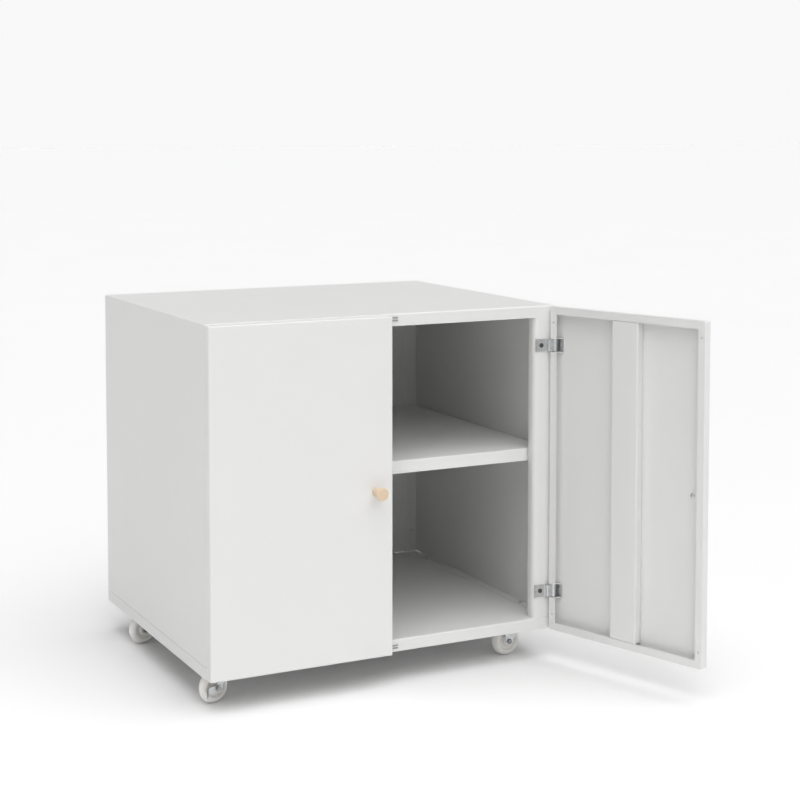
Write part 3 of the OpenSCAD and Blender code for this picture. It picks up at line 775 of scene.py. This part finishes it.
@dataclass(frozen=True)
class Nut:
    """A hexagon nut with chamfered corners; the bore is its inner loop."""

    bore: float = 3 * MM
    lead: float = 0.35 * MM
    chamfer: float = 0.93
    around: int = 72

    def shell(self, spindle: Spindle) -> Shell:
        """One nut.

        The radius at angle t is the flat's distance over cos(t - its nearest flat), cut by a cone
        that leaves the chamfer's circle at each end and widens at 30 degrees to the face.

        Args: spindle is the CAD nut it stands for.
        Returns: the closed surface, in place.
        """
        corner, length = spindle.head_radius, spindle.length
        apothem = corner * math.cos(math.pi / 6)
        rise = np.concatenate([[0.0], np.linspace(0.0, 1.0, 17), [1.0]]) * length
        outer = np.stack([np.full(len(rise), corner), rise], axis=1)
        mouth = self.bore + self.lead
        inner = np.array([[mouth, length], [self.bore, length - self.lead],
                          [self.bore, self.lead], [mouth, 0.0]])
        profile = np.concatenate([outer[1:-1], inner])

        def shape(t: Array, r: Array, h: Array) -> Tuple[Array, Array]:
            """Returns: radius and height of the chamfered hexagon."""
            hexagon = apothem / np.cos((t % (math.pi / 3)) - math.pi / 6)
            near = np.minimum(h, length - h)
            cone = apothem * self.chamfer + near * math.sqrt(3)
            return np.where(r > mouth + SAME, np.minimum(hexagon, cone), r), h

        return lathe(profile, self.around, shape, looped=True).moved(basis(spindle.direction), spindle.origin)


def screw_set(name: str, node: str, axis: Sequence[float], screw: Screw, finish: Finish,
              body: str, slot: str) -> bpy.types.Object:
    """Makes detailed screws for every screw of a CAD node.

    Args: name is the piece's name, node the CAD node, axis the screws' direction, screw their kind,
        finish their look, body what the piece rides on, and slot is not used.
    Returns: the one piece that stands for the node.
    """
    piece = make_piece(name, [screw.shell(s) for s in spindles(node, axis)], finish)
    return attach(piece, body, slot, node)


# ---------------------------------------------------------------- cabinet


@dataclass
class Cabinet:
    """The fixed body: its sheet steel stays as it is, and its fasteners are made in detail."""

    body: str = "cabinet"

    def dress(self) -> None:
        """Gives every CAD node the finish of its material slot."""
        for part in frame["record"]["subparts"]:
            SLOT_FINISHES[part["material_slot"]].dress(frame["nodes"][part["node"]])
            LOG.info("%s is dressed as %s", part["node"], part["material_slot"])

    def build(self) -> None:
        """Makes the screws, bolts and nuts."""
        up, back = (0, 0, 1), (0, 1, 0)
        pan, low_pan = Screw(), Screw(head_height=1.6 * MM)
        for name, node, axis, screw, finish, slot in (
            ("frame_pan_screws", "frame_screws", up, pan, ZINC, "zinc_plate"),
            ("shelf_pan_screws", "shelf_screws", up, pan, ZINC, "zinc_plate"),
            ("back_pan_screws", "back_screws", back, low_pan, ZINC, "zinc_plate"),
            # The hinge screws take the darkened steel: painted shade of the dark ring round each head.
            ("hinge_pan_screws", "hinge_screws", back, low_pan, PAINTED_SHADE_STEEL, "bright_steel"),
            ("catch_pan_screws", "catch_screws", up, Screw(head_height=1.5 * MM), ZINC, "zinc_plate"),
        ):
            screw_set(name, node, axis, screw, finish, self.body, slot)
        studs = [Stud().shell(s) for s in spindles("caster_studs", up)]
        attach(make_piece("caster_threaded_studs", studs, ZINC), self.body, "zinc_plate", "caster_studs")
        nut = Nut(bore=2.5 * MM)
        piece = make_piece("caster_hex_nuts", [nut.shell(s) for s in spindles("caster_nuts", up)], ZINC)
        attach(piece, self.body, "zinc_plate", "caster_nuts")


# ---------------------------------------------------------------- doors


@dataclass
class Door:
    """One door's turned knob, its screw, and the small pressed marks on its hinge flange."""

    hand: Hand
    mark_width: float = 3.6 * MM
    mark_height: float = 3.4 * MM
    mark_wire: float = 0.32 * MM
    mark_from_hinge: float = 23 * MM
    flange_inset: float = 6 * MM
    pin_inset: float = 4.5 * MM
    low_hinge: float = 12 * MM
    high_hinge: float = 13 * MM
    knob_wide: float = 10.25
    knob_narrow: float = 6.25
    bore: float = 2.02
    bore_depth: float = 14.0

    @property
    def body(self) -> str:
        """Returns: the body's name."""
        return f"{self.hand.value}_door"

    @property
    def side(self) -> float:
        """Returns: -1 for the left door and 1 for the right one."""
        return -1.0 if self.hand is Hand.LEFT else 1.0

    @property
    def angle(self) -> float:
        """Returns: how far the door is turned about +Z at rest, in radians."""
        if self.hand is Hand.LEFT:
            return 0.0
        return math.radians(-joint("right_door_hinge")["range_deg"][0])

    def turn(self) -> Array:
        """Returns: the rotation about +Z from the closed door to the door at rest."""
        c, s = math.cos(self.angle), math.sin(self.angle)
        return np.array([[c, -s, 0.0], [s, c, 0.0], [0.0, 0.0, 1.0]])

    def knob(self) -> bpy.types.Object:
        """A turned knob: narrow at the door, wide in front, with its front edge rounded over.

        Returns: the knob.
        """
        outward = self.turn() @ np.array([0.0, -1.0, 0.0])
        node = f"{self.hand.value}_knob"
        found = spindles(node, outward)[0]
        base = found.origin if float(found.direction @ outward) > 0 else (
            found.origin - outward * found.length)
        wide, narrow, long = self.knob_wide, self.knob_narrow, found.length / MM
        profile = rounded_profile([
            (0.0, self.bore_depth, 0.0), (self.bore, self.bore_depth, 0.3), (self.bore, 0.0, 0.3),
            (narrow, 0.0, 0.7),
            (narrow + 0.35, 1.8, 1.2), (narrow + 1.4, 9.0, 5.0), (wide, long - 3.2, 2.6),
            (wide - 1.3, long - 0.6, 1.6), (4.5, long - 0.08, 2.5), (0.0, long, 0.0)])
        finish = Beech(f"turned_beech_{self.hand.value}", centre=tuple(float(v) for v in base),
                       turn_z=self.angle)
        piece = make_piece(f"{self.hand.value}_turned_knob",
                           [lathe(profile, 96).moved(basis(outward), base)], finish, 50.0)
        return attach(piece, self.body, "beech", node)

    def knob_screw(self) -> bpy.types.Object:
        """Returns: the screw that holds the knob, its head inside the door."""
        axis = self.turn() @ np.array([0.0, -1.0, 0.0])
        return screw_set(f"{self.hand.value}_knob_pan_screw", f"{self.hand.value}_knob_screw", axis,
                         Screw(head_height=2.4 * MM), ZINC, self.body, "zinc_plate")

    def marks(self) -> bpy.types.Object:
        """Small pressed U-shaped beads on the hinge flange, one by each hinge, half sunk in the sheet.

        Each runs down one leg, round half a circle and up the other.

        Returns: the piece that holds both beads.
        """
        pin = joint("right_door_hinge")["pos_m"]
        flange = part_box("left_door_pan")[1].y
        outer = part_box("left_hinge_pins")
        heights = (outer[0].z + self.low_hinge, outer[1].z - self.high_hinge)
        x = pin[0] + self.pin_inset - self.flange_inset
        half = self.mark_width / 2
        bend = np.linspace(math.pi, FULL_TURN, 13)
        leg = np.linspace(self.mark_height, 0.0, 5)[:-1]
        flat = np.concatenate([
            np.stack([np.full(4, -half), leg], axis=1),
            np.stack([half * np.cos(bend), half * np.sin(bend)], axis=1),
            np.stack([np.full(4, half), leg[::-1]], axis=1)])
        beads = []
        for z, lift in zip(heights, (1.0, -1.0)):
            middle = z + lift * self.mark_from_hinge
            path = np.stack([x + flat[:, 0], np.full(len(flat), flange), middle + flat[:, 1]], axis=1)
            if self.hand is Hand.LEFT:
                path[:, 0] *= -1
            else:
                centre = np.array([pin[0], pin[1], 0.0])
                path = (path - centre) @ self.turn().T + centre
            beads.append(tube(path, self.mark_wire))
        piece = make_piece(f"{self.hand.value}_flange_marks", beads, PAINT, 60.0)
        return attach(piece, self.body, "white_paint")

    def build(self) -> None:
        """Makes the door's pieces."""
        self.knob()
        self.knob_screw()
        self.marks()


# ---------------------------------------------------------------- casters


@dataclass
class Caster:
    """One caster: a moulded wheel, and the nut or the spun pin of its axle."""

    corner: Corner
    radius: float = 25.0
    half_width: float = 8.5
    dimples: int = 6
    dimple_depth: float = 0.5 * MM
    dimple_ring: float = 11.7 * MM
    dimple_size: float = 1.9 * MM
    recess_face: float = 4.9 * MM

    @property
    def name(self) -> str:
        """Returns: the caster's name, as in the frame."""
        return self.corner.value

    def wheel(self) -> bpy.types.Object:
        """A moulded wheel with a parting line round its tread, a ring recess and ejector marks.

        Half the profile is mirrored to the other face. In the recess the face is sunk by a smooth
        dimple at each of a ring of places: depth times (1 - distance^2 / size^2), where positive.

        Returns: the wheel.
        """
        spin = joint(f"{self.name}_wheel_spin")
        w, r = self.half_width, self.radius
        half = rounded_profile([
            (4.05, 0.0, 0.0), (4.05, 9.6, 0.4), (8.0, 9.6, 0.9), (8.7, 4.5, 1.4), (14.8, 4.2, 1.8),
            (16.0, w - 0.2, 1.4), (18.2, w, 1.2), (r - 4.2, w - 0.5, 2.6), (r - 0.9, w - 4.6, 3.4),
            (r - 0.12, 0.4, 0.2), (r, 0.12, 0.0), (r, 0.0, 0.0)])
        profile = np.concatenate([half[1:-1], half[::-1][:1], (half * [1, -1])[1:-1][::-1]])

        def shape(t: Array, rr: Array, h: Array) -> Tuple[Array, Array]:
            """Returns: radius and height with the ejector marks."""
            step = FULL_TURN / self.dimples
            turn = (t + step / 2) % step - step / 2
            away = np.hypot(rr - self.dimple_ring, self.dimple_ring * turn) / self.dimple_size
            sink = self.dimple_depth * np.clip((1 - away ** 2) * 3, 0, 1)
            return rr, h - np.sign(h) * np.where(np.abs(h) < self.recess_face, sink, 0)

        shell = lathe(profile, 144, shape, looped=True)
        piece = make_piece(f"{self.name}_moulded_wheel",
                           [shell.moved(basis(spin["axis"]), np.array(spin["pos_m"]))], NYLON, 45.0)
        return attach(piece, f"{self.name}_roller", "nylon", f"{self.name}_wheel")

    @property
    def braked(self) -> bool:
        """Returns: whether this caster has a brake lever."""
        return f"{self.name}_brake_lever" in frame["nodes"]

    def bolted_axle(self) -> None:
        """Makes the chamfered nut of a braked caster's axle."""
        axis = joint(f"{self.name}_wheel_spin")["axis"]
        nut = Nut(bore=3.0 * MM)
        node = f"{self.name}_axle_nut"
        piece = make_piece(f"{self.name}_chamfered_nut", [nut.shell(s) for s in spindles(node, axis)], ZINC)
        attach(piece, f"{self.name}_swivel", "zinc_plate", node)

    def pinned_axle(self) -> None:
        """Makes the headed pin of an unbraked caster, spun over at its end, and the collar there, its steel
        darkened as painted shade of the ring round the pin.

        The pin's profile domes over the head, runs along the shank and turns into a shallow dimple.
        """
        axis = joint(f"{self.name}_wheel_spin")["axis"]
        pin = spindles(f"{self.name}_axle_pin", axis)[0]
        head, shank, long = (v / MM for v in (pin.head_radius, pin.shank_radius, pin.length))
        profile = rounded_profile([
            (0.0, 0.0, 0.0), (head * 0.6, 0.06, 1.2), (head, 0.55, 0.9), (head, 1.6, 0.2), (shank, 1.6, 0.2),
            (shank, long - 0.3, 0.2), (shank * 0.82, long, 0.4), (shank * 0.45, long - 0.5, 0.5),
            (0.0, long - 0.6, 0.0)])
        piece = make_piece(f"{self.name}_spun_pin",
                           [lathe(profile, 64).moved(basis(pin.direction), pin.origin)], STEEL)
        attach(piece, f"{self.name}_swivel", "bright_steel", f"{self.name}_axle_pin")
        collar = spindles(f"{self.name}_axle_collar", axis)[0]
        outer, high = collar.head_radius / MM, collar.length / MM
        ring = rounded_profile([
            (shank + 0.02, 0.0, 0.0), (outer, 0.0, 0.3), (outer, high, 0.5), (shank + 0.02, high, 0.0)])
        shell = lathe(ring, 64, looped=True).moved(basis(collar.direction), collar.origin)
        # The collar's near-black steel is painted shade: it stands for the dark ring round the spun pin's end.
        piece = make_piece(f"{self.name}_painted_shade_collar", [shell], PAINTED_SHADE_STEEL)
        attach(piece, f"{self.name}_swivel", "bright_steel", f"{self.name}_axle_collar")

    def build(self) -> None:
        """Makes the caster's pieces."""
        self.wheel()
        if self.braked:
            self.bolted_axle()
        else:
            self.pinned_axle()


# ---------------------------------------------------------------- studio


@dataclass(frozen=True)
class Sun:
    """A broad far light: where it comes from, its strength and how wide it is seen."""

    name: str
    source: Tuple[float, float, float]
    strength: float
    width_deg: float

    def build(self) -> None:
        """Makes the light and turns it."""
        data = bpy.data.lights.new(self.name, "SUN")
        data.energy = self.strength
        data.angle = math.radians(self.width_deg)
        lamp = bpy.data.objects.new(self.name, data)
        bpy.context.scene.collection.objects.link(lamp)
        lamp.rotation_euler = Vector(self.source).to_track_quat("Z", "Y").to_euler()


@dataclass(frozen=True)
class SoftBox:
    """A square soft light aimed at the cabinet's middle: its place, power and side."""

    name: str
    place: Tuple[float, float, float]
    power: float
    size: float
    aim: Tuple[float, float, float] = (0.0, 0.0, 0.3)

    def build(self) -> None:
        """Makes the light and aims it."""
        data = bpy.data.lights.new(self.name, "AREA")
        data.energy = self.power
        data.size = self.size
        lamp = bpy.data.objects.new(self.name, data)
        bpy.context.scene.collection.objects.link(lamp)
        lamp.location = self.place
        lamp.rotation_euler = (Vector(self.place) - Vector(self.aim)).to_track_quat("Z", "Y").to_euler()


LAMPS = (
    Sun("front_sun", (0.14, -0.36, 0.92), 1.52, 75.0),
    Sun("top_sun", (0.0, -0.05, 1.0), 0.84, 75.0),
    Sun("left_sun", (-0.55, -0.35, 0.75), 0.45, 60.0),
    SoftBox("front_softbox", (-0.5, -2.6, 1.9), 7.1, 1.6),
)


@dataclass
class Studio:
    """Camera, floor and soft light."""

    place: Tuple[float, float, float] = (-1.1593, -2.5784, 0.8687)
    yaw_deg: float = 26.79
    pitch_deg: float = 3.80
    lens: float = 76.86
    shift_y: float = -0.202
    fill: float = 0.194
    backdrop: float = 0.945
    sensor: float = 36.0
    floor_reach: float = 60.0
    floor_lines: int = 7

    def camera(self) -> None:
        """Makes the camera and gives it to the scene."""
        data = bpy.data.cameras.new("camera")
        data.sensor_width = self.sensor
        data.lens = self.lens
        data.shift_y = self.shift_y
        data.clip_end = 200.0
        camera = bpy.data.objects.new("camera", data)
        bpy.context.scene.collection.objects.link(camera)
        yaw, pitch = math.radians(self.yaw_deg), math.radians(self.pitch_deg)
        ahead = Vector((math.sin(yaw) * math.cos(pitch), math.cos(yaw) * math.cos(pitch), -math.sin(pitch)))
        camera.location = self.place
        camera.rotation_euler = ahead.to_track_quat("-Z", "Y").to_euler()
        bpy.context.scene.camera = camera

    def floor(self) -> None:
        """Lays a plain pale floor under the wheels."""
        lines = self.floor_lines
        side = np.linspace(-self.floor_reach, self.floor_reach, lines)
        x, y = np.meshgrid(side, side)
        points = np.stack([x, y, np.zeros_like(x)], axis=-1).reshape(-1, 3)
        i, j = np.meshgrid(np.arange(lines - 1), np.arange(lines - 1), indexing="ij")
        corner = i * lines + j
        quads = np.stack([corner, corner + 1, corner + lines + 1, corner + lines], axis=-1)
        mesh = bpy.data.meshes.new("studio_floor")
        mesh.from_pydata(points.tolist(), [], quads.reshape(-1, 4).tolist())
        floor = bpy.data.objects.new("studio_floor", mesh)
        bpy.context.scene.collection.objects.link(floor)
        StudioFloor("pale_floor").dress(floor)

    def light(self) -> None:
        """Soft even light from all round, and the lamps."""
        world = bpy.data.worlds.new("studio")
        world.use_nodes = True
        bpy.context.scene.world = world
        nodes, links = world.node_tree.nodes, world.node_tree.links
        nodes.clear()
        seen, lit = nodes.new("ShaderNodeBackground"), nodes.new("ShaderNodeBackground")
        seen.inputs["Strength"].default_value = self.backdrop
        seen.inputs["Color"].default_value = (1, 1, 1, 1)
        lit.inputs["Strength"].default_value = self.fill
        lit.inputs["Color"].default_value = (1, 1, 1, 1)
        path, mix = nodes.new("ShaderNodeLightPath"), nodes.new("ShaderNodeMixShader")
        output = nodes.new("ShaderNodeOutputWorld")
        links.new(path.outputs["Is Camera Ray"], mix.inputs[0])
        links.new(lit.outputs[0], mix.inputs[1])
        links.new(seen.outputs[0], mix.inputs[2])
        links.new(mix.outputs[0], output.inputs["Surface"])
        for lamp in LAMPS:
            lamp.build()

    def build(self) -> None:
        """Makes the camera, the floor and the light."""
        bpy.context.scene.view_settings.view_transform = "Standard"
        self.camera()
        self.floor()
        self.light()


def main() -> None:
    """Builds every sub-assembly in order."""
    logging.basicConfig(level=logging.INFO, format="%(message)s", stream=sys.stdout)
    Studio().build()
    cabinet = Cabinet()
    cabinet.dress()
    cabinet.build()
    for hand in Hand:
        Door(hand).build()
    for corner in Corner:
        Caster(corner).build()


if __name__ == "__main__":
    main()
